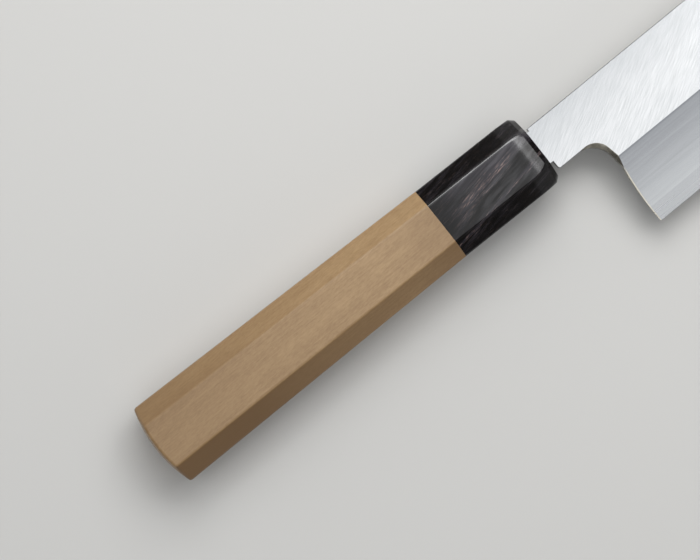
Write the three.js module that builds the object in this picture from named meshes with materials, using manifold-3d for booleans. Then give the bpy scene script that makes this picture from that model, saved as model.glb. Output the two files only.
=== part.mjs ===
// Usuba: a single-bevel knife for vegetables, on an octagonal wooden handle with a horn ferrule.
// Millimetres. The knife lies on its side with the bevel up: +X runs from the butt to the tip,
// +Y from the edge to the spine, +Z out of the bevelled face. The origin is under its middle.
import * as THREE from "three";
import { mergeVertices } from "three/addons/utils/BufferGeometryUtils.js";
import Module from "manifold-3d";

const wasm = await Module();
wasm.setup();
const { degToRad, lerp } = THREE.MathUtils;

// Blade: stations run along the spine from the shoulders at the neck, drops run down from the spine.
const bladeLength = 195;
const bladeHeight = 44.7;
const ridgeDrop = 22.45; // spine to the ridge line, where the flat turns into the bevel
const neckThickness = 3.8;
const tipThickness = 2.4;
const edgeLand = 0.1; // the edge as honed, not drawn to nothing
const spineEase = 0.2;
const tipCornerRadius = 3;
const bladeCant = degToRad(0.85); // the blade rises towards the tip against the handle's axis

// Neck, choil and heel
const spineShoulder = 0.85; // step from spine to tang
const edgeShoulder = 2.75; // step from tang to the neck's lower edge
const neckCornerRadius = 0.9;
const neckLength = 6.75; // shoulders to the start of the choil's arc
const choilRadius = 7.2;
const choilLean = degToRad(6); // how far the arc stops short of square to the spine
const flankRun = 3.55; // how far the choil's straight flank runs on past the ridge line
const heelStation = 13.45;
const heelBow = 0.5; // bulge of the heel towards the handle

// Relief rubbed onto the choil: a crescent where its wall rolls over into the blade's faces
const reliefShift = 2.75; // the crescent's arc leaves the neck this much nearer the tip
const reliefTighten = 1.9; // and has this much less radius
const reliefLean = degToRad(11);
const reliefDepth = 0.6;
const backReliefShare = 0.5; // the relief on the back, against the one on the bevelled face

// Edge steel and the hollow ground into its back
const steelThickness = 0.9;
const steelStart = 4;
const hollowDepth = 0.4;
const hollowSpineRim = 3;
const hollowEdgeRim = 1.5;
const hollowHeelRim = 5;
const hollowTipRim = 4;
const hollowEndLength = 16; // length over which each end of the hollow rounds off

// Tang
const tangLength = 89.5;
const tangHeight = 10.95;
const tangEndHeight = 5.5;
const tangEndThickness = 2.6;
const shoulderGap = 1.5; // shoulders to the mouth of the ferrule
const spineRise = 5.9; // spine above the handle's axis at the shoulders

// Handle
const handleLength = 138.4;
const mouthWidth = 23.1;
const buttWidth = 26.1;
const buttThickness = 22.2;
const ferruleFlare = 0.25; // how much wider and thicker the ferrule is at the grip than at its mouth
const ferruleFacet = 5.4; // slanted facets along the ferrule, measured across the handle's width
const buttFacet = 6.03; // and at the butt
const facetSlope = degToRad(42.6);
const arris = 0.35; // flat rubbed onto each ridge
const buttCrown = 2.2;
const buttEase = 0.8;

// Ferrule, dowel and bedding
const ferruleLength = 34.9;
const ferruleWall = 2.25; // at its thinnest, over the dowel
const mouthWall = 12; // solid horn that the tang passes through
const mouthGap = 0.2;
const mouthRollLength = 4; // where polishing has rolled the facets off towards the mouth
const mouthRollDepth = 0.5;
const mouthSideRoll = 0.1;
const mouthEase = 0.8;
const dowelCover = 2.4; // wood left above and below the tang
const dowelHeel = 8; // wood left behind the slot
const beddingWall = 0.6;
const glueLine = 0.1;

// What follows from them
const ridgeSlope = (neckThickness - tipThickness) / bladeLength;
const tangCentre = -spineShoulder - tangHeight / 2;
const neckHeight = spineShoulder + tangHeight + edgeShoulder;
const flankDrop = ridgeDrop + flankRun;
const tangDepth = tangLength - shoulderGap; // how far the tang reaches into the handle
const dowelFront = -mouthWall - glueLine;
const slotEnd = -tangDepth - beddingWall - 2 * glueLine;
const dowelEnd = slotEnd - dowelHeel;
const tangHeightAtDowel = lerp(tangHeight, tangEndHeight, (mouthWall + shoulderGap) / tangLength);
const dowelRadius = tangHeightAtDowel / 2 + dowelCover;
const boreRadius = dowelRadius + glueLine;
const beddingThickness = neckThickness + 2 * (glueLine + beddingWall);
const slotWidth = beddingThickness + 2 * glueLine;
const mouthThickness = 2 * (boreRadius + ferruleWall);
const facetEnd = -handleLength + buttCrown + buttEase;

const past = 2; // how far a cutting shape runs past what it cuts

// A closed mesh as a solid that can be joined and cut.
function solid(geometry) {
  const bare = new THREE.BufferGeometry();
  bare.setAttribute("position", geometry.getAttribute("position"));
  bare.setIndex(geometry.index);
  const merged = mergeVertices(bare, 1e-5);
  return new wasm.Manifold(
    new wasm.Mesh({
      numProp: 3,
      vertProperties: merged.getAttribute("position").array,
      triVerts: new Uint32Array(merged.index.array),
    }),
  );
}

// A solid as a named mesh, flat shaded.
function piece(name, body, look) {
  const { vertProperties, triVerts } = body.getMesh();
  const geometry = new THREE.BufferGeometry();
  geometry.setAttribute("position", new THREE.BufferAttribute(vertProperties, 3));
  geometry.setIndex(new THREE.BufferAttribute(triVerts, 1));
  geometry.computeVertexNormals();
  const mesh = new THREE.Mesh(geometry, new THREE.MeshStandardMaterial({ flatShading: true, ...look }));
  mesh.name = name;
  return mesh;
}

// Skins a row of rings and closes both ends. Each ring is convex, runs anticlockwise as seen from
// the end of the row and has as many corners as the others.
function loft(rings) {
  const corners = rings[0].length;
  const last = (rings.length - 1) * corners;
  const index = [];
  for (let ring = 0; ring < last; ring += corners) {
    for (let corner = 0; corner < corners; corner++) {
      const next = (corner + 1) % corners;
      const [a, b] = [ring + corner, ring + next];
      index.push(a, b, b + corners, a, b + corners, a + corners);
    }
  }
  for (let corner = 1; corner < corners - 1; corner++) {
    index.push(0, corner + 1, corner);
    index.push(last, last + corner, last + corner + 1);
  }
  const geometry = new THREE.BufferGeometry().setFromPoints(rings.flat());
  geometry.setIndex(index);
  return geometry;
}

// A ring across X from pairs of Y and Z.
function ringAt(x, pairs) {
  return pairs.map(([y, z]) => new THREE.Vector3(x, y, z));
}

// Heights of the blade's back and upper face above the plane of the back. The blade thins evenly to
// the tip on its upper face, and the tang thins on both faces.
function facesAt(station) {
  if (station >= 0) return { back: 0, top: neckThickness - ridgeSlope * station };
  const thinning = ((neckThickness - tangEndThickness) / 2) * (-station / tangLength);
  return { back: thinning, top: neckThickness - thinning };
}

// The blade's section: back, eased spine, flat, ridge line, bevel and edge.
function bladeSection(station) {
  const { back, top } = facesAt(station);
  return ringAt(station, [
    [-bladeHeight, back],
    [-spineEase, back],
    [0, back + spineEase],
    [0, top - spineEase],
    [-spineEase, top],
    [-ridgeDrop, top],
    [-bladeHeight, back + edgeLand],
  ]);
}

function bladeStock() {
  const steps = 10; // the bevel twists a little as the blade thins, so it is skinned in steps
  const stations = [-tangLength - past];
  for (let step = 0; step < steps; step++) stations.push((bladeLength * step) / steps);
  stations.push(bladeLength + past);
  return solid(loft(stations.map(bladeSection)));
}

// The choil's line from the neck downwards: an arc that leaves the neck's lower edge and turns
// towards the edge, then a straight flank.
function choilLine(start, radius, lean) {
  const steps = 14;
  const line = [];
  for (let step = 0; step <= steps; step++) {
    const turn = lerp(Math.PI / 2, lean, step / steps);
    const drop = neckHeight + radius * (1 - Math.sin(turn));
    line.push(new THREE.Vector2(start + radius * Math.cos(turn), -drop));
  }
  const arcEnd = line.at(-1);
  const drop = Math.max(flankDrop, -arcEnd.y);
  line.push(new THREE.Vector2(arcEnd.x + (drop + arcEnd.y) * Math.tan(lean), -drop));
  return line;
}

const choilWall = choilLine(neckLength, choilRadius, choilLean);
const choilCrest = choilLine(neckLength + reliefShift, choilRadius - reliefTighten, reliefLean);

// Outline seen on the bevelled face. It runs past the spine and the edge, which the section gives.
function bladeOutline() {
  const tangHalf = tangHeight / 2;
  const tangEndHalf = tangEndHeight / 2;
  const flankEnd = choilWall.at(-1);
  const bowStation = (flankEnd.x + heelStation) / 2 - 2 * heelBow;

  const outline = new THREE.Shape();
  outline.moveTo(-tangLength, tangCentre - tangEndHalf);
  outline.lineTo(0, tangCentre - tangHalf);
  outline.lineTo(0, -neckHeight + neckCornerRadius);
  outline.quadraticCurveTo(0, -neckHeight, neckCornerRadius, -neckHeight);
  for (const point of choilWall) outline.lineTo(point.x, point.y);
  outline.quadraticCurveTo(bowStation, (flankEnd.y - bladeHeight) / 2, heelStation, -bladeHeight);
  outline.lineTo(heelStation, -bladeHeight - past);
  outline.lineTo(bladeLength, -bladeHeight - past);
  outline.lineTo(bladeLength, -tipCornerRadius);
  outline.absarc(bladeLength - tipCornerRadius, -tipCornerRadius, tipCornerRadius, 0, Math.PI / 2, false);
  outline.lineTo(bladeLength - tipCornerRadius, past);
  outline.lineTo(0, past);
  outline.lineTo(0, tangCentre + tangHalf);
  outline.lineTo(-tangLength, tangCentre + tangEndHalf);
  outline.closePath();
  const depth = neckThickness + 2 * past;
  const plate = new THREE.ExtrudeGeometry(outline, { depth, bevelEnabled: false, curveSegments: 14 });
  return solid(plate.translate(0, 0, -past));
}

// Cutter for the relief: level with the choil's wall below the blade's face, it spreads to the crest
// line on the face in a quarter round. Outward is 1 on the bevelled face and -1 on the back.
function choilRelief(outward, share) {
  const steps = 5;
  const depth = reliefDepth * share;
  const corner = new THREE.Vector2(neckLength, choilWall.at(-1).y);
  const faceAt = (station) => (outward > 0 ? facesAt(station).top : facesAt(station).back);
  const ringAbove = (rise, spread) => {
    const line = choilWall.map((point, at) => point.clone().lerp(choilCrest[at], spread));
    const ring = [...line, corner].map(({ x, y }) => new THREE.Vector3(x, y, faceAt(x) + outward * rise));
    return outward > 0 ? ring.reverse() : ring;
  };
  const rings = [];
  for (let step = 0; step <= steps; step++) {
    const turn = (Math.PI / 2) * (step / steps);
    rings.push(ringAbove(depth * (Math.sin(turn) - 1), share * (1 - Math.cos(turn))));
  }
  rings.push(ringAbove(past, share));
  return solid(loft(rings));
}

// The hollow of the back, as a large wheel grinds it: round across the blade, even along it, and
// running out in rounded ends inside flat rims.
function backHollow() {
  const start = heelStation + hollowHeelRim;
  const end = bladeLength - hollowTipRim;
  const centre = -(hollowSpineRim + bladeHeight - hollowEdgeRim) / 2;
  const halfWidth = (bladeHeight - hollowEdgeRim - hollowSpineRim) / 2;
  const endSteps = 7;
  const acrossSteps = 10;
  const runOut = 1.1; // the ground surface is carried on past the plane of the back
  const ring = (station, share) => {
    const pairs = [
      [centre - runOut * halfWidth * share, -past],
      [centre + runOut * halfWidth * share, -past],
    ];
    for (let step = 0; step <= acrossSteps; step++) {
      const across = runOut * (1 - (2 * step) / acrossSteps);
      pairs.push([centre + across * halfWidth * share, hollowDepth * share * share * (1 - across * across)]);
    }
    return ringAt(station, pairs);
  };
  const heelEnd = [];
  const tipEnd = [];
  for (let step = 1; step <= endSteps; step++) {
    const turn = (Math.PI / 2) * (step / endSteps);
    const run = hollowEndLength * (1 - Math.cos(turn));
    heelEnd.push(ring(start + run, Math.sin(turn)));
    tipEnd.unshift(ring(end - run, Math.sin(turn)));
  }
  return solid(loft([...heelEnd, ...tipEnd]));
}

// The tang by itself, grown all round: the shape of the slots that it fits.
function grownTang(grow) {
  const ring = (station) => {
    const { back, top } = facesAt(station);
    const half = lerp(tangHeight, tangEndHeight, -station / tangLength) / 2 + grow;
    return ringAt(station, [
      [tangCentre - half, back - grow],
      [tangCentre + half, back - grow],
      [tangCentre + half, top + grow],
      [tangCentre - half, top + grow],
    ]);
  };
  const bar = loft([ring(-tangLength - grow), ring(0)]);
  bar.rotateZ(bladeCant);
  return solid(bar.translate(shoulderGap, spineRise, -neckThickness / 2));
}

// Iron and steel of the blade, parted at the plane where they are welded.
function makeBlade() {
  const blade = bladeStock()
    .intersect(bladeOutline())
    .subtract(choilRelief(1, 1))
    .subtract(choilRelief(-1, backReliefShare))
    .subtract(backHollow());
  const steelLength = bladeLength + past - steelStart;
  const steelSide = bladeHeight + 2 * past;
  const steelDepth = steelThickness + past;
  const steelStock = new THREE.BoxGeometry(steelLength, steelSide, steelDepth);
  steelStock.translate(steelStart + steelLength / 2, -bladeHeight / 2, steelThickness - steelDepth / 2);
  const steelSpace = solid(steelStock);

  const group = new THREE.Group();
  group.add(
    piece("blade_cladding", blade.subtract(steelSpace), { color: 0xb9bcbf, roughness: 0.32, metalness: 1 }),
    piece("blade_edge_steel", blade.intersect(steelSpace), { color: 0xc9c9c6, roughness: 0.25, metalness: 1 }),
  );
  group.position.set(shoulderGap, spineRise, -neckThickness / 2);
  group.rotation.z = bladeCant;
  return group;
}

// How large the octagon across the handle is at x: nearly the same along the ferrule, then growing
// to the butt.
function handleSize(x) {
  const mouth = [mouthWidth, mouthThickness, ferruleFacet];
  const joint = [mouthWidth + ferruleFlare, mouthThickness + ferruleFlare, ferruleFacet];
  const butt = [buttWidth, buttThickness, buttFacet];
  const onFerrule = x > -ferruleLength;
  const share = onFerrule ? -x / ferruleLength : (x + ferruleLength) / (facetEnd + ferruleLength);
  const [from, to] = onFerrule ? [mouth, joint] : [joint, butt];
  return from.map((size, at) => lerp(size, to[at], share));
}

// The octagon itself, with its ridges rubbed flat and its facets drawn in by an inset for the sides
// and one for the upper and lower faces. Each facet is parted into steps.
function handleRing(x, { sideInset = 0, faceInset = 0, steps = 1 } = {}) {
  const [width, thickness, facetWidth] = handleSize(x);
  const side = width / 2 - sideInset;
  const face = thickness / 2 - faceInset;
  const quarter = [
    [side, face - facetWidth * Math.tan(facetSlope)],
    [side - facetWidth, face],
  ];
  const mirrored = quarter.map(([y, z]) => [-y, z]).reverse();
  const upper = [...quarter, ...mirrored];
  const octagon = [...upper, ...upper.map(([y, z]) => [-y, -z])].map((pair) => new THREE.Vector2(...pair));
  const rubbed = octagon.flatMap((corner, at) => {
    const before = octagon[(at + 7) % 8];
    const after = octagon[(at + 1) % 8];
    const last = before.clone().sub(corner).setLength(arris).add(corner);
    const first = after.clone().sub(corner).setLength(arris).add(corner);
    const end = corner.clone().sub(after).setLength(arris).add(after);
    const facet = Array.from({ length: steps }, (_, step) => first.clone().lerp(end, step / steps));
    return [last, ...facet];
  });
  return ringAt(x, rubbed.map((corner) => corner.toArray()));
}

// A round bar along the handle's axis.
function roundBar(radius, from, to) {
  const bar = new THREE.CylinderGeometry(radius, radius, to - from, 40);
  bar.rotateZ(-Math.PI / 2);
  return solid(bar.translate((from + to) / 2, 0, 0));
}

// A bar as wide as the dowel, square to the blade: the slot and what fills it.
function flatBar(thickness, from, to) {
  const bar = new THREE.BoxGeometry(to - from, 2 * (dowelRadius + past), thickness);
  return solid(bar.translate((from + to) / 2, 0, 0));
}

// Horn ferrule: the facets roll off towards the mouth and end in an eased rim.
function makeFerrule() {
  const rollSteps = 5;
  const easeSteps = 4;
  const rings = [handleRing(-ferruleLength)];
  for (let step = 0; step <= rollSteps; step++) {
    const share = step / rollSteps;
    const x = lerp(-mouthRollLength - mouthEase, -mouthEase, share);
    rings.push(handleRing(x, { sideInset: mouthSideRoll * share * share, faceInset: mouthRollDepth * share * share }));
  }
  for (let step = 1; step <= easeSteps; step++) {
    const turn = (Math.PI / 2) * (step / easeSteps);
    const x = -mouthEase * (1 - Math.sin(turn));
    const eased = mouthEase * (1 - Math.cos(turn));
    rings.push(handleRing(x, { sideInset: mouthSideRoll + eased, faceInset: mouthRollDepth + eased }));
  }
  const horn = solid(loft(rings))
    .subtract(roundBar(boreRadius, -ferruleLength - past, -mouthWall))
    .subtract(grownTang(mouthGap));
  return piece("ferrule", horn, { color: 0x2a2422, roughness: 0.18, metalness: 0 });
}

// Wooden grip: eight tapered facets, an eased rim and a round dome for a butt, bored for the dowel.
function makeGrip() {
  const easeSteps = 4;
  const domeSteps = 6;
  const facetSteps = 4; // the dome bows the facets' ends, so they are parted
  const crownShare = 0.03; // the dome closes on a small flat
  const domeX = (radius) => -handleLength + buttCrown * (radius / (buttWidth / 2)) ** 2;
  const rimShare = 1 - (2 * buttEase) / buttThickness;
  const endRing = (x) => handleRing(x, { steps: facetSteps });
  const butt = endRing(facetEnd).map(({ y, z }, at) => endRing(domeX(Math.hypot(y, z)) + buttEase)[at]);
  const buttRing = (share, x) => butt.map(({ y, z }) => new THREE.Vector3(x(Math.hypot(y, z)), share * y, share * z));
  const rings = [];
  for (let step = 0; step <= domeSteps; step++) {
    const share = lerp(crownShare, rimShare, step / domeSteps);
    rings.push(buttRing(share, (radius) => domeX(share * radius)));
  }
  for (let step = 1; step <= easeSteps; step++) {
    const turn = (Math.PI / 2) * (step / easeSteps);
    const rim = (radius) => lerp(domeX(rimShare * radius), domeX(radius) + buttEase, 1 - Math.cos(turn));
    rings.push(buttRing(lerp(rimShare, 1, Math.sin(turn)), rim));
  }
  rings.push(endRing(-ferruleLength));
  const wood = solid(loft(rings)).subtract(roundBar(boreRadius, dowelEnd - glueLine, -ferruleLength + past));
  return piece("grip", wood, { color: 0xae8f66, roughness: 0.7, metalness: 0 });
}

// Dowel that joins ferrule and grip, slotted from its front end for the tang.
function makeDowel() {
  const dowel = roundBar(dowelRadius, dowelEnd, dowelFront).subtract(
    flatBar(slotWidth, slotEnd, dowelFront + past),
  );
  return piece("handle_dowel", dowel, { color: 0xb89a6c, roughness: 0.75, metalness: 0 });
}

// Resin that fills the dowel's slot round the tang.
function makeBedding() {
  const resin = flatBar(beddingThickness, slotEnd + glueLine, dowelFront)
    .intersect(roundBar(dowelRadius, dowelEnd, dowelFront + past))
    .subtract(grownTang(glueLine));
  return piece("tang_bedding", resin, { color: 0x33271b, roughness: 0.4, metalness: 0 });
}

const knife = new THREE.Group();
knife.add(makeBlade(), makeFerrule(), makeGrip(), makeDowel(), makeBedding());
const box = new THREE.Box3().setFromObject(knife);
knife.position.set(-(box.min.x + box.max.x) / 2, -(box.min.y + box.max.y) / 2, -box.min.z);

export default knife;
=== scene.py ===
import math

import bmesh
import bpy
from mathutils import Matrix, Vector


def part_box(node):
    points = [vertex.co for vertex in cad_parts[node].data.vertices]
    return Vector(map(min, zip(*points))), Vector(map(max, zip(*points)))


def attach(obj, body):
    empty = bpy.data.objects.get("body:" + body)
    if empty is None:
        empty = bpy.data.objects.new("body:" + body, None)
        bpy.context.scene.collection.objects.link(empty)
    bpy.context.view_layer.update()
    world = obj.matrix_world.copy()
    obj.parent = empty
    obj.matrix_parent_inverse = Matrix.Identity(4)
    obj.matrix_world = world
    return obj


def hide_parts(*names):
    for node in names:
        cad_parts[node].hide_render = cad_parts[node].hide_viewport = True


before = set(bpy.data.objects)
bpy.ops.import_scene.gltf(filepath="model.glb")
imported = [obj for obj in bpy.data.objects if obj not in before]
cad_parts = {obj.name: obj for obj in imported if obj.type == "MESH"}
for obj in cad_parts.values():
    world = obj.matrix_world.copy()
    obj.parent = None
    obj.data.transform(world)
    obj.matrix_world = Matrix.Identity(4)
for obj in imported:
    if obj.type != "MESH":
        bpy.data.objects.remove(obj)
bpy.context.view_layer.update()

# Blade. Hard steel is forge-welded to the back of soft iron, the tang is drawn out of the iron, and
# both are ground as one: a flat and a bevel that meet in a ridge, and a shallow hollow in the back.
# Lengths are in millimetres from the shoulders along the spine, and depths from the spine down.
blade_length, blade_height, ridge_drop = 195, 44.7, 22.45
neck_thickness, tip_thickness, edge_land, spine_round = 3.8, 2.4, 0.1, 0.2
tang_length, tang_height, tang_end_height, tang_end_thickness = 89.5, 10.95, 5.5, 2.6
spine_shoulder, edge_shoulder, neck_corner = 0.85, 2.75, 0.9
neck_length, choil_radius, choil_lean = 6.75, 7.2, math.radians(6)
flank_drop, heel_station, heel_bow, tip_corner = 26.0, 13.45, 0.5, 3.0
relief_shift, relief_tighten, relief_lean = 2.75, 1.9, math.radians(11)
relief_depth, neck_relief = 0.6, 0.08
steel_thickness, steel_start = 0.9, 4.0
shoulder_gap, spine_offset = 1.5, 5.9
past = 2  # how far a cutting tool reaches beyond the piece
neck_height = spine_shoulder + tang_height + edge_shoulder
tang_middle = -spine_shoulder - tang_height / 2

ferrule_low, ferrule_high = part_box("ferrule")
mouth = Vector((ferrule_high.x, *((ferrule_low + ferrule_high) / 2).yz))
blade_cant = math.radians(0.85)
blade_corner = mouth + Vector((shoulder_gap, spine_offset, -neck_thickness / 2)) / 1000
blade_place = Matrix.Translation(blade_corner) @ Matrix.Rotation(blade_cant, 4, "Z") @ Matrix.Scale(0.001, 4)


def drawn_out(name, rings):
    """A closed piece: the first ring is filled, and its face is extruded from ring to ring."""
    bpy.ops.object.select_all(action="DESELECT")
    bpy.ops.mesh.primitive_circle_add(vertices=len(rings[0]), fill_type="NGON")
    piece = bpy.context.object
    piece.name = name
    bpy.ops.object.mode_set(mode="EDIT")
    for number, ring in enumerate(rings):
        if number:
            bpy.ops.mesh.extrude_region_move()
        mesh = bmesh.from_edit_mesh(piece.data)
        face = next(f for f in mesh.faces if f.select)
        for corner, point in zip(face.verts, ring):
            corner.co = point
        bmesh.update_edit_mesh(piece.data)
    bpy.ops.mesh.select_all(action="SELECT")
    bpy.ops.mesh.normals_make_consistent(inside=False)
    bpy.ops.object.mode_set(mode="OBJECT")
    return piece


def select(piece):
    bpy.ops.object.select_all(action="DESELECT")
    piece.select_set(True)
    bpy.context.view_layer.objects.active = piece


def finished_with(piece, kind, **settings):
    """Adds a modifier to the piece and applies it."""
    select(piece)
    modifier = piece.modifiers.new(kind.lower(), kind)
    for setting, value in settings.items():
        setattr(modifier, setting, value)
    bpy.ops.object.modifier_apply(modifier=modifier.name)


def cut(piece, tool, operation="DIFFERENCE"):
    finished_with(piece, "BOOLEAN", object=tool, operation=operation, solver="EXACT")
    bpy.data.objects.remove(tool)


def set_down(piece, place, sharp=30):
    """Puts a piece modelled in millimetres in its place, and smooths what isn't a sharp edge."""
    select(piece)
    piece.matrix_world = place
    bpy.ops.object.transform_apply(location=True, rotation=True, scale=True)
    bpy.ops.object.shade_smooth_by_angle(angle=math.radians(sharp))
    finished_with(piece, "WEIGHTED_NORMAL", keep_sharp=True)


def mark_sharp(piece, wanted):
    select(piece)
    bpy.ops.object.mode_set(mode="EDIT")
    bpy.ops.mesh.select_mode(type="EDGE")
    bpy.ops.mesh.select_all(action="DESELECT")
    mesh = bmesh.from_edit_mesh(piece.data)
    for edge in mesh.edges:
        edge.select_set(wanted(edge))
    bmesh.update_edit_mesh(piece.data)
    bpy.ops.mesh.mark_sharp()
    bpy.ops.object.mode_set(mode="OBJECT")


def between(start, end, share):
    return start + (end - start) * share


def faces_at(station):
    """Heights of the back and of the upper face."""
    if station >= 0:
        return 0.0, between(neck_thickness, tip_thickness, station / blade_length)
    thinning = (neck_thickness - tang_end_thickness) / 2 * -station / tang_length
    return thinning, neck_thickness - thinning


def blade_section(station):
    back, top = faces_at(station)
    ring = [(-blade_height, back)]
    for turn in (-90, -60, -30, 0):
        rise = spine_round * (1 + math.sin(math.radians(turn)))
        ring.append((spine_round * (math.cos(math.radians(turn)) - 1), back + rise))
    for turn in (0, 30, 60, 90):
        fall = spine_round * (1 - math.sin(math.radians(turn)))
        ring.append((spine_round * (math.cos(math.radians(turn)) - 1), top - fall))
    ring += [(-ridge_drop, top), (-blade_height, back + edge_land)]
    return [Vector((station, y, z)) for y, z in ring]


def choil_line(neck, start, radius, lean):
    """From the neck's lower edge round the arc and down the straight flank of the heel."""
    line = [(-past, -neck)]
    for step in range(25):
        turn = between(math.radians(90), lean, step / 24)
        line.append((start + radius * math.cos(turn), -neck - radius * (1 - math.sin(turn))))
    x, y = line[-1]
    return line + [(x + (flank_drop + y) * math.tan(lean), -flank_drop)]


choil_wall = choil_line(neck_height, neck_length, choil_radius, choil_lean)
choil_crest = choil_line(
    neck_height - neck_relief, neck_length + relief_shift, choil_radius - relief_tighten, relief_lean
)


def blade_outline():
    half, end_half = tang_height / 2, tang_end_height / 2
    line = [(-tang_length, tang_middle - end_half), (0, tang_middle - half)]
    for step in range(7):
        share = step / 6
        line.append((neck_corner * share**2, -neck_height + neck_corner * (1 - share) ** 2))
    line += choil_wall[1:]
    (x, y), bow = choil_wall[-1], (choil_wall[-1][0] + heel_station) / 2 - 2 * heel_bow
    for step in range(1, 17):
        share = step / 16
        along = between(between(x, bow, share), between(bow, heel_station, share), share)
        line.append((along, between(y, -blade_height, share)))
    line += [(heel_station, -blade_height - past), (blade_length, -blade_height - past)]
    for step in range(13):
        turn = math.radians(90 * step / 12)
        line.append((blade_length - tip_corner * (1 - math.cos(turn)), -tip_corner * (1 - math.sin(turn))))
    line += [(blade_length - tip_corner, past), (0, past), (0, tang_middle + half)]
    return line + [(-tang_length, tang_middle + end_half)]


def relief_tool(outward, share):
    """What is rubbed off where the choil's wall rolls over into the upper face or the back."""
    rings = []
    for step in range(12):
        out = min(step, 10) / 10
        spread = share * out
        rise = past if step == 11 else -relief_depth * share * (1 - out) ** 1.15
        line = [
            (between(wall[0], crest[0], spread), between(wall[1], crest[1], spread))
            for wall, crest in zip(choil_wall, choil_crest)
        ]
        ring = []
        for x, y in line + [(-past, -flank_drop)]:
            face = between(neck_thickness, tip_thickness, x / blade_length) if outward > 0 else 0.0
            ring.append(Vector((x, y, face + outward * rise)))
        rings.append(ring)
    return drawn_out("relief_tool", rings)


def hollow_tool():
    """The grinding wheel's hollow: round across the blade, running out in round ends."""
    start, end, end_length, depth = heel_station + 5, blade_length - 4, 16, 0.4
    spine_rim, edge_rim, reach = 3, 1.5, 1.1
    middle = -(spine_rim + blade_height - edge_rim) / 2
    half = (blade_height - edge_rim - spine_rim) / 2
    turns = [math.radians(7.5 * step) for step in range(1, 13)]
    run_outs = [(start + end_length * (1 - math.cos(turn)), math.sin(turn)) for turn in turns]
    run_outs += [(end - end_length * (1 - math.cos(turn)), math.sin(turn)) for turn in turns[::-1]]
    rings = []
    for station, share in run_outs:
        ring = [(middle - reach * half * share, -past), (middle + reach * half * share, -past)]
        for step in range(29):
            across = between(reach, -reach, step / 28)
            ring.append((middle + across * half * share, depth * share**2 * (1 - across**2)))
        rings.append([Vector((station, y, z)) for y, z in ring])
    return drawn_out("hollow_tool", rings)


def steel_space():
    low, high = -blade_height - past, past
    corners = [(high, -past), (high, steel_thickness), (low, steel_thickness), (low, -past)]
    ends = (steel_start, blade_length + past)
    return drawn_out("steel_space", [[Vector((x, y, z)) for y, z in corners] for x in ends])


stations = [-tang_length - past, *(blade_length * step / 20 for step in range(20)), blade_length + past]
iron = drawn_out("cladding", [blade_section(station) for station in stations])
plate = [[Vector((x, y, z)) for x, y in blade_outline()] for z in (-past, neck_thickness + past)]
cut(iron, drawn_out("outline", plate), "INTERSECT")
cut(iron, relief_tool(outward=1, share=1))
cut(iron, relief_tool(outward=-1, share=0.5))
cut(iron, hollow_tool())
select(iron)
bpy.ops.object.duplicate()
steel = bpy.context.object
steel.name = "edge_steel"
cut(steel, steel_space(), "INTERSECT")
cut(iron, steel_space())


def beveled(face):
    return abs(face.normal.x) < 0.03 and -0.25 < face.normal.y < -0.06 and face.normal.z > 0.9


def on_bevel_border(edge):
    return len({beveled(face) for face in edge.link_faces}) == 2


def on_hollow_rim(edge):
    return all(abs(corner.co.z) < 0.002 for corner in edge.verts) and edge.calc_face_angle(0) > 0.006


for piece in (iron, steel):
    select(piece)
    bpy.ops.object.mode_set(mode="EDIT")
    bpy.ops.mesh.select_all(action="SELECT")
    bpy.ops.mesh.remove_doubles(threshold=0.002)
    bpy.ops.object.mode_set(mode="OBJECT")
    mark_sharp(piece, on_bevel_border)
mark_sharp(steel, on_hollow_rim)
for piece in (iron, steel):
    set_down(piece, blade_place)


class Tone:
    """A socket of a material's nodes. Python's operators on it add Math nodes."""

    def __init__(self, tree, socket=None):
        self.tree = tree
        self.socket = socket

    def add(self, kind, settings=None, inputs=None, output=0):
        """Adds a node with these settings and these values or links, and gives one of its outputs."""
        node = self.tree.nodes.new("ShaderNode" + kind)
        for setting, value in (settings or {}).items():
            setattr(node, setting, value)
        for name, value in (inputs or {}).items():
            if isinstance(value, Tone):
                self.tree.links.new(value.socket, node.inputs[name])
            else:
                node.inputs[name].default_value = value
        return Tone(self.tree, node.outputs[output]) if node.outputs else None

    def math(self, operation, first, second):
        return self.add("Math", {"operation": operation}, {0: first, 1: second})

    def __add__(self, other):
        return self.math("ADD", self, other)

    def __sub__(self, other):
        return self.math("SUBTRACT", self, other)

    def __rsub__(self, other):
        return self.math("SUBTRACT", other, self)

    def __mul__(self, other):
        return self.math("MULTIPLY", self, other)

    __radd__ = __add__
    __rmul__ = __mul__

    def rise(self, low, high):
        """0 below low, 1 above high, and a soft step between."""
        limits = {"Value": self, "From Min": low, "From Max": high}
        return self.add("MapRange", {"interpolation_type": "SMOOTHSTEP"}, limits)

    def mix(self, first, second):
        """The first colour where this is 0, the second where it is 1."""
        return self.add("Mix", {"data_type": "RGBA"}, {0: self, 6: first, 7: second}, 2)

    def part(self, axis):
        return self.add("SeparateXYZ", {}, {"Vector": self}, axis)

    def noise(self, size, turn=0, detail=2.0, roughness=0.5, shift=0):
        """Noise whose grains have this size in millimetres and are turned by this angle."""
        place = {"Location": (shift, shift, shift), "Rotation": (0, 0, math.radians(turn)), "Scale": size}
        grain = self.add("Mapping", {"vector_type": "TEXTURE"}, {"Vector": self, **place})
        sharpness = {"Scale": 1.0, "Detail": detail, "Roughness": roughness}
        return self.add("TexNoise", {}, {"Vector": grain, **sharpness})


def srgb(red, green, blue):
    """A colour as a picture stores it, 0 to 255, for a socket."""
    parts = [part / 255 for part in (red, green, blue)]
    return (*(p / 12.92 if p < 0.04045 else ((p + 0.055) / 1.055) ** 2.4 for p in parts), 1.0)


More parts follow.
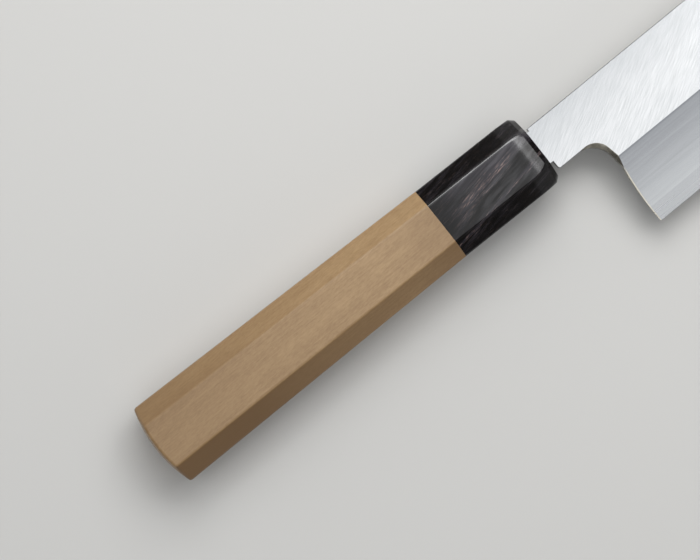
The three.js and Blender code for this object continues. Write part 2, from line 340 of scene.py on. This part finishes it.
def new_finish(piece, name, origin, turn=0.0):
    """An empty material for a piece, and its coordinates in millimetres from an origin."""
    material = bpy.data.materials.new(name)
    material.use_nodes = True
    material.node_tree.nodes.clear()
    piece.data.materials.clear()
    piece.data.materials.append(material)
    place = Tone(material.node_tree).add("TexCoord", output="Object")
    return place.add(
        "Mapping",
        {"vector_type": "TEXTURE"},
        {"Vector": place, "Location": origin, "Rotation": (0, 0, turn), "Scale": (0.001, 0.001, 0.001)},
    )


def surface(tone, sockets, bump=None, height=0.0):
    """Closes a material with a Principled shader, bumped by a pattern this many millimetres high."""
    if bump:
        relief = {"Height": bump, "Strength": 1.0, "Distance": height / 1000}
        sockets["Normal"] = tone.add("Bump", {}, relief)
    tone.add("OutputMaterial", {}, {"Surface": tone.add("BsdfPrincipled", {}, sockets)})


def heel_highlight_line(at, depth):
    """A painted highlight: the thin pale line along the heel's corner, 1 on the line."""
    share = (depth - flank_drop) * (1 / (blade_height - flank_drop))
    line = choil_wall[-1][0] + (heel_station - choil_wall[-1][0] - 4 * heel_bow * (1 - share)) * share
    return (1 - (at.part("X") - line).rise(0.15, 0.4)) * depth.rise(ridge_drop + 3, ridge_drop + 6)


# Iron cladding: the flat is hand-rubbed with slanting strokes, and the bevel is stoned along the edge to
# a misty grey. The narrow sides are painted: dark as shadow along the spine, dark as shade at the neck,
# pale as a highlight at the heel. The crescent at the choil is rubbed dull and painted darker as shade,
# and a painted highlight runs as a thin pale line along the heel's corner.
flat_dark, flat_pale, flat_spine_shade = srgb(211, 212, 212), srgb(230, 230, 230), srgb(178, 180, 182)
bevel_dark, bevel_pale, ridge_painted_shade = srgb(142, 144, 148), srgb(224, 225, 225), srgb(118, 121, 125)
crescent_dark, crescent_pale, heel_highlight_pale = srgb(138, 134, 122), srgb(168, 163, 150), srgb(252, 241, 212)
# Painted shadow, painted shade and painted highlight for the narrow sides at the spine, the neck and the
# heel.
spine_side_shadow, neck_side_shade, heel_side_highlight = srgb(44, 48, 54), srgb(96, 90, 80), srgb(190, 184, 168)
at = new_finish(iron, "iron_rubbed_and_stoned", blade_corner, blade_cant)
depth = at.part("Y") * -1
normal = at.add("TexCoord", output="Normal")
on_bevel = depth.rise(ridge_drop - 0.05, ridge_drop + 0.05)
# The choil's crescent, where the faces slope towards the handle or the edge: rubbed dull, and painted darker
# as shade.
rubbed_and_shaded = normal.part("X") * -1 + (on_bevel - 1) * normal.part("Y")
rubbed_and_shaded = rubbed_and_shaded.rise(0.02, 0.2) * (1 - at.part("X").rise(18, 19))
lying = normal.math("ABSOLUTE", normal.part("Z"), 0.0)
on_side = normal.math("MAXIMUM", normal.part("Y").rise(0.04, 0.25), 1 - lying.rise(0.5, 0.9))
strokes = at.noise((6, 0.32, 4), 33, detail=1.0)
crossing = at.noise((5, 0.32, 4), 25, detail=1.0, shift=53)
long_strokes = at.noise((30, 2.5, 4), 30, detail=2.0, shift=31)
flecks = at.noise((1.4, 1.4, 1.4), detail=2.0, shift=19)
stone_lines = at.noise((50, 0.9, 6), detail=1.0, shift=7)
mist = at.noise((26, 4.5, 6), 3.0, detail=3.0, shift=13)
flat_tint = strokes * 0.45 + crossing * 0.4 + long_strokes * 0.15
flat_color = flat_tint.rise(0.3, 0.7).mix(flat_dark, flat_pale)
# Painted shade: the flat is darker towards the spine.
flat_color = (0.5 - 0.5 * depth.rise(-2, 15)).mix(flat_color, flat_spine_shade)
bevel_tint = stone_lines * 0.2 + mist * 0.25 + depth.rise(23, 44) * 0.55
bevel_color = bevel_tint.mix(bevel_dark, bevel_pale)
# Painted shade: a thin darker band on the bevel just under the ridge.
under_ridge = on_bevel * (1 - depth.rise(ridge_drop + 0.2, ridge_drop + 0.8))
bevel_color = (under_ridge * 0.5).mix(bevel_color, ridge_painted_shade)
color = on_bevel.mix(flat_color, bevel_color)
# Painted highlight: a thin pale line along the heel's corner.
color = (heel_highlight_line(at, depth) * 0.6).mix(color, heel_highlight_pale)
# The crescent's colour: rubbed iron with painted shade.
color = rubbed_and_shaded.mix(color, flecks.rise(0.3, 0.7).mix(crescent_dark, crescent_pale))
# Painted light on the narrow sides: painted shadow along the spine, painted shade at the neck, a painted
# highlight at the heel.
side_color = depth.rise(0.5, 8).mix(spine_side_shadow, neck_side_shade)
side_color = depth.rise(ridge_drop, ridge_drop + 4).mix(side_color, heel_side_highlight)
color = on_side.mix(color, side_color)
metallic = 1 - rubbed_and_shaded * (0.4 - 0.3 * depth.rise(17, 22))
roughness = 0.19 + 0.08 * on_bevel * mist
relief = (1 - on_bevel) * (strokes + crossing) * 0.12
finish = {"Base Color": color, "Metallic": metallic, "Roughness": roughness}
surface(at, finish, bump=relief, height=0.0012)
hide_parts("blade_cladding")
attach(iron, "root")

# Edge steel: harder and brighter than the iron. It shows as a pale band along the edge, stoned along
# its length, and its back is hollow-ground across, with flat rims.
steel_dark, steel_pale = srgb(197, 198, 200), srgb(213, 214, 214)
ground_dark, ground_pale = srgb(150, 152, 155), srgb(184, 186, 188)
steel_spine_side_shadow, steel_heel_side_highlight = srgb(104, 104, 104), srgb(190, 185, 172)
at = new_finish(steel, "steel_stoned", blade_corner, blade_cant)
depth = at.part("Y") * -1
facing = at.add("TexCoord", output="Normal").part("Z")
on_side = 1 - facing.math("ABSOLUTE", facing, 0.0).rise(0.45, 0.9)
lines = at.noise((60, 0.9, 6), detail=1.0, shift=5)
cloud = at.noise((30, 3.0, 6), detail=2.0, shift=17)
color = (lines * 0.5 + cloud * 0.5).mix(steel_dark, steel_pale)
# Painted highlight: a thin pale line along the heel's corner, on the upper faces.
color = (heel_highlight_line(at, depth) * facing.rise(0.5, 0.9) * 0.6).mix(color, heel_highlight_pale)
hollow = (facing * -1).rise(0.5, 0.9) * at.part("Z").rise(0.002, 0.02)
wheel_lines = at.noise((0.9, 50, 6), detail=1.0, shift=29)
color = hollow.mix(color, wheel_lines.mix(ground_dark, ground_pale))
# Painted light on the narrow sides: painted shadow along the spine, a painted highlight at the heel.
color = on_side.mix(color, depth.rise(0.5, 8).mix(steel_spine_side_shadow, steel_heel_side_highlight))
finish = {"Base Color": color, "Metallic": 1.0, "Roughness": 0.24 + 0.06 * lines + 0.12 * hollow}
surface(at, finish, bump=lines, height=0.0012)
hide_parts("blade_edge_steel")
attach(steel, "root")

# Dowel: a turned hardwood pin, slotted for the tang. It is glued into the bores of ferrule and grip, and
# joins the two inside the handle.
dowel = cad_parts["handle_dowel"]
at = new_finish(dowel, "wood_turned", mouth)
grain = at.noise((30, 0.5, 0.5), detail=3.0)
color = grain.mix(srgb(178, 148, 104), srgb(206, 178, 134))
surface(at, {"Base Color": color, "Roughness": 0.6 + 0.15 * grain}, bump=grain, height=0.03)

# Ferrule: dark horn, glued to the grip and planed with it to eight facets, then polished, which rolls
# the facets and their ridges off towards the mouth, where a chamfer is cut. Lengths run back from the
# mouth, and a ridge's number is the radius of its rounding.
handle_place = Matrix.Translation(mouth) @ Matrix.Scale(0.001, 4)
ferrule_length, ferrule_flare = 34.9, 0.25
mouth_width, mouth_thickness, ferrule_facet = 23.1, 19.628, 5.2
butt_width, butt_thickness, butt_facet = 26.1, 22.2, 5.8
facet_end, facet_slope = -135.4, math.radians(42.6)
bore_radius, mouth_wall, mouth_gap = 7.564, 12.0, 0.2
roll_length, roll_depth, side_roll = 6.0, 0.92, 0.15
chamfer_length, chamfer_depth, chamfer_round = 1.35, 1.15, 0.2
joint_ridge, middle_ridge, mouth_ridge = 1.6, 1.1, 4.5
joint_ease, joint_inset = 0.06, 0.04


def handle_ring(x, ridge_round, side_inset=0.0, face_inset=0.0, steps=1):
    """The eight facets across the handle, with rounded ridges. Each facet is parted into steps."""
    front = (mouth_width, mouth_thickness, ferrule_facet)
    joint = (mouth_width + ferrule_flare, mouth_thickness + ferrule_flare, ferrule_facet)
    butt = (butt_width, butt_thickness, butt_facet)
    if x > -ferrule_length:
        sizes, share = zip(front, joint), -x / ferrule_length
    else:
        sizes, share = zip(joint, butt), (x + ferrule_length) / (facet_end + ferrule_length)
    width, thickness, facet = (between(start, end, share) for start, end in sizes)
    side, face = width / 2 - side_inset, thickness / 2 - face_inset
    quarter = [(side, face - facet * math.tan(facet_slope)), (side - facet, face)]
    upper = quarter + [(-y, z) for y, z in quarter[::-1]]
    corners = [Vector(corner) for corner in upper + [(-y, -z) for y, z in upper]]
    reach = ridge_round * math.tan(math.radians(22.5))
    ring = []
    for number, corner in enumerate(corners):
        before, after = corners[number - 1], corners[(number + 1) % 8]
        start = corner + (before - corner).normalized() * reach
        end = corner + (after - corner).normalized() * reach
        far_end = after + (corner - after).normalized() * reach
        for step in range(7):
            share = step / 6
            ring.append(between(between(start, corner, share), between(corner, end, share), share))
        ring += [between(end, far_end, step / steps) for step in range(1, steps)]
    return [Vector((x, *point)) for point in ring]


def round_bar(radius, start, end):
    turns = [math.radians(3.75 * step) for step in range(96)]
    ring = [(radius * math.cos(turn), radius * math.sin(turn)) for turn in turns]
    return drawn_out("bar", [[Vector((x, y, z)) for y, z in ring] for x in (start, end)])


def tang_slot(grow):
    rings = []
    for station in (-tang_length - grow, 0):
        back, top = faces_at(station)
        half = between(tang_height, tang_end_height, -station / tang_length) / 2 + grow
        corners = [(-half, back - grow), (half, back - grow), (half, top + grow), (-half, top + grow)]
        rings.append([Vector((station, tang_middle + y, z)) for y, z in corners])
    tool = drawn_out("tang_slot", rings)
    select(tool)
    tool.matrix_world = handle_place.inverted() @ blade_place
    bpy.ops.object.transform_apply(location=True, rotation=True, scale=True)
    return tool


rings = [handle_ring(-ferrule_length, joint_ridge, joint_inset, joint_inset)]
rings.append(handle_ring(-ferrule_length + joint_ease, joint_ridge))
for step in range(1, 9):
    share = step / 8
    x = between(-ferrule_length, -roll_length - chamfer_length, share)
    rings.append(handle_ring(x, between(joint_ridge, middle_ridge, share)))
for step in range(1, 17):
    share = step / 16
    x = between(-roll_length - chamfer_length, -chamfer_length - chamfer_round, share)
    rolled = share**2
    ridge = between(middle_ridge, mouth_ridge, rolled**2)
    rings.append(handle_ring(x, ridge, side_roll * rolled, roll_depth * rolled))
for step in range(1, 7):
    share = step / 6
    x = between(-chamfer_length - chamfer_round, -chamfer_length, share)
    inset = chamfer_round * (0.3 * share + 0.2 * share**2)
    rings.append(handle_ring(x, mouth_ridge, side_roll + inset, roll_depth + inset))
for share in (0.3, 0.6, 0.9, 0.95, 1):
    x = -chamfer_length * (1 - share)
    inset = between(chamfer_round / 2, chamfer_depth, share)
    rings.append(handle_ring(x, mouth_ridge, side_roll + inset, roll_depth + inset))
ferrule = drawn_out("horn_ferrule", rings)
cut(ferrule, round_bar(bore_radius, -ferrule_length - past, -mouth_wall))
cut(ferrule, tang_slot(mouth_gap))
set_down(ferrule, handle_place, sharp=40)

horn_dark, horn_pale, streak_pale = srgb(9, 7, 6), srgb(80, 76, 84), srgb(150, 126, 118)
streak_turn = 11
at = new_finish(ferrule, "horn_polished", mouth)
fibres = at.noise((20, 0.5, 0.7), streak_turn, detail=4.0, roughness=0.6)
flecks = at.noise((2.4, 0.3, 0.4), 14, detail=3.0, roughness=0.6, shift=11)
patches = at.noise((9, 1.3, 5.0), streak_turn, detail=3.0, shift=23)
lie = {"Vector": at, "Rotation": (0, 0, math.radians(streak_turn))}
turned = at.add("Mapping", {"vector_type": "TEXTURE"}, lie)
along, across = turned.part("X"), turned.part("Y") + (patches - 0.5) * 2.4
wide_streak = across.rise(1.6, 4.4) * (1 - across.rise(4.8, 7.4))
wide_streak = wide_streak * along.rise(-34, -21) * (1 - along.rise(-12, -5))
thin_streak = across.rise(-2.4, -1.8) * (1 - across.rise(-1.6, -1.0))
# Painted sheen: a paler bluish band beside the spine-side ridges, over the front two thirds of the ferrule.
# The pale mix below adds it to the real streaks and patches.
ridge_sheen = at.part("Y").rise(1.5, 4.6) * (1 - at.part("Y").rise(5.8, 6.8)) * along.rise(-33, -22)
streaks_and_sheen = wide_streak * 0.4 + thin_streak * 0.4 + ridge_sheen * 0.35 + patches.rise(0.4, 0.75) * 0.2
color = (streaks_and_sheen * (0.5 + 0.5 * fibres.rise(0.35, 0.65))).mix(horn_dark, horn_pale)
spots = (wide_streak * 0.8 + thin_streak * 0.8 + 0.06) * fibres.rise(0.42, 0.62) * flecks.rise(0.45, 0.7)
color = spots.mix(color, streak_pale)
relief = fibres * 0.6 + flecks * 0.4
ridge_line = at.part("Y").rise(5.6, 6.0) * (1 - at.part("Y").rise(6.8, 7.2))
upper = at.add("TexCoord", output="Normal").part("Z").rise(0.75, 0.95)
fading = along.rise(-8, -4) * (1 - at.part("Y").rise(-6, 6))
gloss = upper * along.rise(-33, -20) * (0.16 + 0.6 * patches.rise(0.38, 0.68)) * (1 - 0.7 * fading)
gloss = gloss + 0.06 * upper + 0.75 * ridge_line
finish = {"Base Color": color, "Roughness": 0.12 + 0.06 * fibres, "IOR": 1.4}
surface(at, {**finish, "Coat Weight": gloss, "Coat Roughness": 0.18}, bump=relief, height=0.003)
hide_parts("ferrule")
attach(ferrule, "root")

# Grip: plain pale wood, planed to eight tapered facets with softened ridges, sanded and left bare.
# Its butt is rubbed to a low dome, and it is bored for the dowel.
handle_length, butt_crown, butt_ease, dowel_end = 138.4, 2.2, 0.8, -96.9
front_ridge, butt_ridge, middle_share = 1.0, 1.8, 0.03
rim_share = 1 - butt_ease / (butt_thickness / 2)


def dome(radius):
    return -handle_length + butt_crown * (radius / (butt_width / 2)) ** 2


rim = []
for number, corner in enumerate(handle_ring(facet_end, butt_ridge, steps=8)):
    rim.append(handle_ring(dome(corner.yz.length) + butt_ease, butt_ridge, steps=8)[number])
rings = []
for step in range(13):
    share = between(middle_share, rim_share, step / 12)
    rings.append([Vector((dome(share * corner.yz.length), *(share * corner.yz))) for corner in rim])
for step in range(1, 9):
    turn = math.radians(11.25 * step)
    share = between(rim_share, 1.0, math.sin(turn))
    ring = []
    for corner in rim:
        x = between(dome(rim_share * corner.yz.length), corner.x, 1 - math.cos(turn))
        ring.append(Vector((x, *(share * corner.yz))))
    rings.append(ring)
for x in (-120, -100, -80, -60, -ferrule_length - joint_ease):
    share = (x + ferrule_length) / (facet_end + ferrule_length)
    rings.append(handle_ring(x, between(front_ridge, butt_ridge, share), steps=8))
rings.append(handle_ring(-ferrule_length, front_ridge, joint_inset, joint_inset, steps=8))
grip = drawn_out("wooden_grip", rings)
cut(grip, round_bar(bore_radius, dowel_end, -ferrule_length + past))
set_down(grip, handle_place, sharp=40)

wood_dark, wood_pale = srgb(143, 113, 76), srgb(169, 139, 99)
pore_dark, wood_darkened = srgb(116, 88, 57), srgb(113, 84, 49)
at = new_finish(grip, "wood_sanded", mouth)
along = at.part("X")
grain = at.noise((32, 0.45, 0.45), detail=4.0, roughness=0.55)
bands = at.noise((90, 3.4, 2.2), 1.5, detail=2.0, shift=3)
pores = at.noise((2.6, 0.16, 0.16), detail=2.0, shift=19)
mottle = at.noise((5, 3.2, 3.2), detail=2.0, shift=41)
speckle = at.noise((1.7, 0.55, 0.55), 8, detail=3.0, roughness=0.65, shift=67)
tint = grain * 0.25 + bands * 0.25 + mottle * 0.15 + speckle * 0.35
color = tint.rise(0.33, 0.67).mix(wood_dark, wood_pale)
color = (pores.rise(0.58, 0.74) * 0.3).mix(color, pore_dark)
facing = at.add("TexCoord", output="Normal").part("Y")
spine_side, edge_side = facing.rise(0.3, 0.6), (facing * -1).rise(0.3, 0.6)
# Darkening of the wood: painted shade on the edge-side facets, most towards the butt, and painted shade on
# all facets towards the butt, the spine side most. The top and edge-side facets are also a little darker for
# the first 20 mm behind the joint.
darkening = 0.3 * along.rise(-55, -35) * (1 - spine_side) + 0.1 * edge_side
darkening = darkening + (0.4 + 0.2 * spine_side) * (1 - along.rise(-150, -50))
darkening = darkening + edge_side * (0.72 - 0.5 * along.rise(-140, -20))
color = darkening.mix(color, wood_darkened)
finish = {"Base Color": color, "Roughness": 0.36 + 0.12 * grain, "IOR": 1.6}
surface(at, finish, bump=grain * 0.6 + pores * 0.4, height=0.05)
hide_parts("grip")
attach(grip, "root")

# Bedding: resin poured into the dowel's slot round the tang, which holds the blade in the handle. It
# sets dark and dull.
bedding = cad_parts["tang_bedding"]
at = new_finish(bedding, "resin_set", mouth)
blotches = at.noise((6, 3, 3), detail=3.0)
color = blotches.mix(srgb(42, 32, 22), srgb(66, 52, 38))
surface(at, {"Base Color": color, "Roughness": 0.35 + 0.2 * blotches}, bump=blotches, height=0.05)

# Stage: a plain pale floor, a soft key light on the spine's side, a second light beyond the tip, a wide
# panel overhead and four dim panels low round the knife, which its steel mirrors. The camera is straight
# above, turned so that the handle runs from the lower left to the blade at the upper right.
bpy.ops.mesh.primitive_plane_add(size=30)
floor = bpy.context.object
floor.name = "floor"
at = new_finish(floor, "floor_pale", (0, 0, 0))
surface(at, {"Base Color": srgb(206, 205, 202), "Roughness": 0.9})


def panel(name, tilt, toward, distance, width, height, radiance):
    """A soft rectangle of light that faces the ferrule, tilted by degrees from straight above to a side."""
    lean = math.sin(math.radians(tilt))
    aim = Vector((lean * toward[0], lean * toward[1], math.cos(math.radians(tilt))))
    light = bpy.data.lights.new(name, "AREA")
    light.shape, light.size, light.size_y = "RECTANGLE", width, height
    light.energy = radiance * math.pi * width * height
    lamp = bpy.data.objects.new(name, light)
    lamp.location = mouth + aim * distance
    lamp.rotation_euler = aim.to_track_quat("Z", "Y").to_euler()
    bpy.context.scene.collection.objects.link(lamp)


panel("key_light", tilt=36, toward=(0.62, 0.78), distance=0.7, width=0.55, height=0.46, radiance=3.95)
panel("tip_light", tilt=36, toward=(1, 0.05), distance=1.4, width=0.56, height=0.6, radiance=2.9)
panel("overhead_panel", tilt=4, toward=(0, 1), distance=1.3, width=1.6, height=1.6, radiance=1.05)
bpy.data.lights["overhead_panel"].color = (0.96, 0.98, 1.0)
for number in range(4):
    turn = math.radians(45 + 90 * number)
    side = (math.cos(turn), math.sin(turn))
    radiance = 0.43 + 0.08 * side[1]
    panel(f"wall_{number}", tilt=71, toward=side, distance=2.2, width=3.6, height=1.7, radiance=radiance)

world = bpy.data.worlds.new("room")
bpy.context.scene.world = world
world.use_nodes = True
world.node_tree.nodes["Background"].inputs["Color"].default_value = (0.05, 0.05, 0.052, 1)

camera_place, camera_turn, focal_length = Vector((-0.065, 0.00355, 0.6)), math.radians(-38.44), 107.69
lens = bpy.data.cameras.new("camera")
lens.sensor_width, lens.lens = 36, focal_length
camera = bpy.data.objects.new("camera", lens)
camera.location = mouth + camera_place
camera.rotation_euler = (0, 0, camera_turn)
bpy.context.scene.collection.objects.link(camera)
bpy.context.scene.camera = camera
bpy.context.scene.view_settings.view_transform = "Standard"
